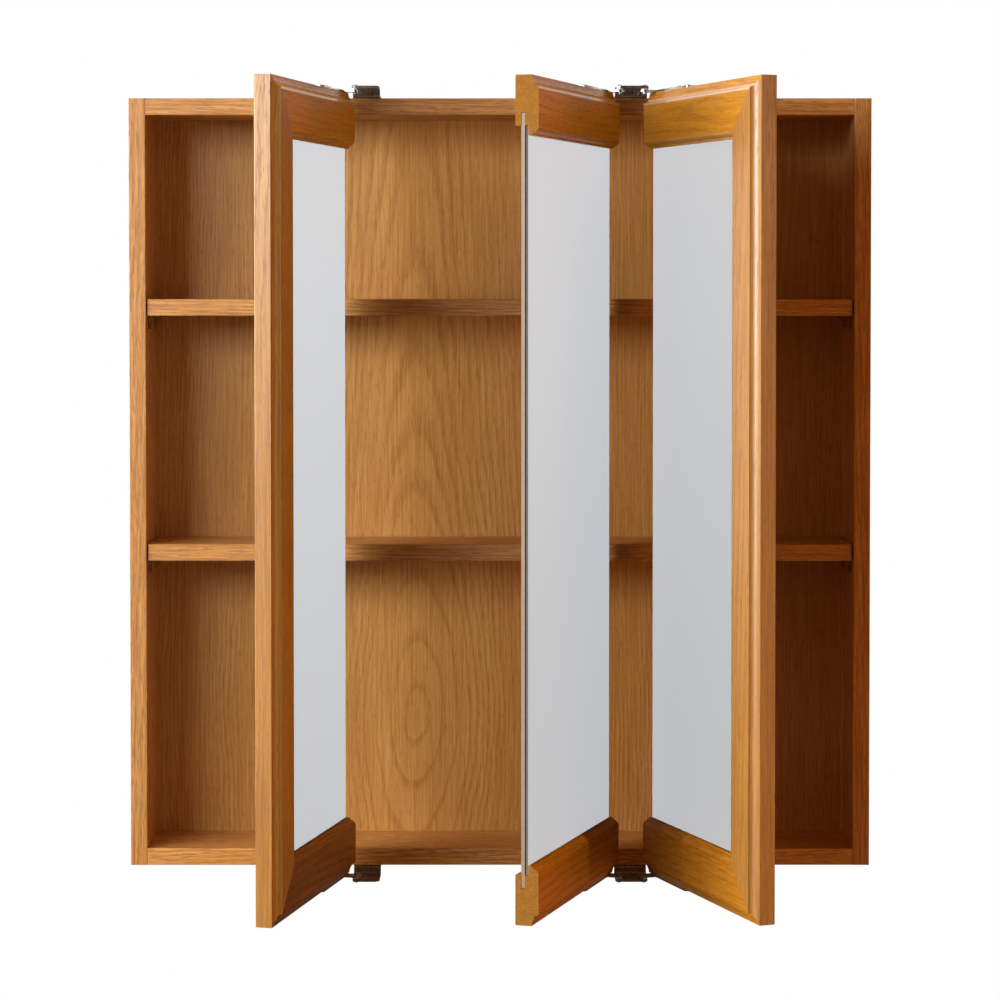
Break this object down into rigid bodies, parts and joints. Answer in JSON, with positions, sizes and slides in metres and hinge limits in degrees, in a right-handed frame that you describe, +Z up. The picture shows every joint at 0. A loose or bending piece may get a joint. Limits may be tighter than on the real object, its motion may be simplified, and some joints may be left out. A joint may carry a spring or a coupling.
{
  "type": "mirrored medicine cabinet",
  "caption": "Shallow wall-hung oak medicine cabinet with adjustable shelves behind hinged mirror doors in moulded frames, shown with its doors open.",
  "frame": {"origin": "centre of the back of the case, on the wall plane", "axes": "+X to the right as seen from the front, +Y into the wall, +Z up"},
  "size_m": [0.732, 0.3618, 0.7818],
  "materials": {
    "oak_case": "satin honey oak",
    "oak_frame": "satin honey oak",
    "oak_veneer": "satin oak veneer",
    "beech": "bare",
    "hardboard": "bare edge",
    "mirror": "silvered glass",
    "nickel": "bright nickel plate",
    "clear_plastic": "clear",
    "nylon": "natural white",
    "rubber": "clear grey"
  },
  "bodies": {
    "cabinet": {"back_panel": "oak_veneer", "bottom_panel": "oak_case", "bracket_screws": "nickel", "corner_dowels": "beech", "double_bracket_bottom": "nickel", "double_bracket_top": "nickel", "hinge_washers": "nylon", "left_door_pin_bottom": "nickel", "left_door_pin_top": "nickel", "left_side_panel": "oak_case", "lower_shelf": "oak_case", "lower_shelf_clips": "clear_plastic", "middle_door_pin_bottom": "nickel", "middle_door_pin_top": "nickel", "right_door_pin_bottom": "nickel", "right_door_pin_top": "nickel", "right_side_panel": "oak_case", "single_bracket_bottom": "nickel", "single_bracket_top": "nickel", "top_panel": "oak_case", "upper_shelf": "oak_case", "upper_shelf_clips": "clear_plastic"},
    "left_door": {"left_door_backing": "hardboard", "left_door_bottom_rail": "oak_frame", "left_door_bumpers": "rubber", "left_door_leaf_bottom": "nickel", "left_door_leaf_screws": "nickel", "left_door_leaf_top": "nickel", "left_door_mirror": "mirror", "left_door_stile": "oak_frame", "left_door_top_rail": "oak_frame"},
    "middle_door": {"middle_door_backing": "hardboard", "middle_door_bottom_rail": "oak_frame", "middle_door_bumpers": "rubber", "middle_door_leaf_bottom": "nickel", "middle_door_leaf_screws": "nickel", "middle_door_leaf_top": "nickel", "middle_door_mirror": "mirror", "middle_door_top_rail": "oak_frame"},
    "right_door": {"right_door_backing": "hardboard", "right_door_bottom_rail": "oak_frame", "right_door_bumpers": "rubber", "right_door_leaf_bottom": "nickel", "right_door_leaf_screws": "nickel", "right_door_leaf_top": "nickel", "right_door_mirror": "mirror", "right_door_stile": "oak_frame", "right_door_top_rail": "oak_frame"}
  },
  "joints": [
    {"name": "left_door_hinge", "type": "hinge", "parent": "cabinet", "child": "left_door", "pos_m": [-0.14118, -0.1255, 0], "axis": [0, 0, 1], "range_deg": [-77.2, 12.8]},
    {"name": "middle_door_hinge", "type": "hinge", "parent": "cabinet", "child": "middle_door", "pos_m": [0.11678, -0.1255, 0], "axis": [0, 0, 1], "range_deg": [-71.2, 18.8]},
    {"name": "right_door_hinge", "type": "hinge", "parent": "cabinet", "child": "right_door", "pos_m": [0.14118, -0.1255, 0], "axis": [0, 0, -1], "range_deg": [-70, 20]}
  ]
}
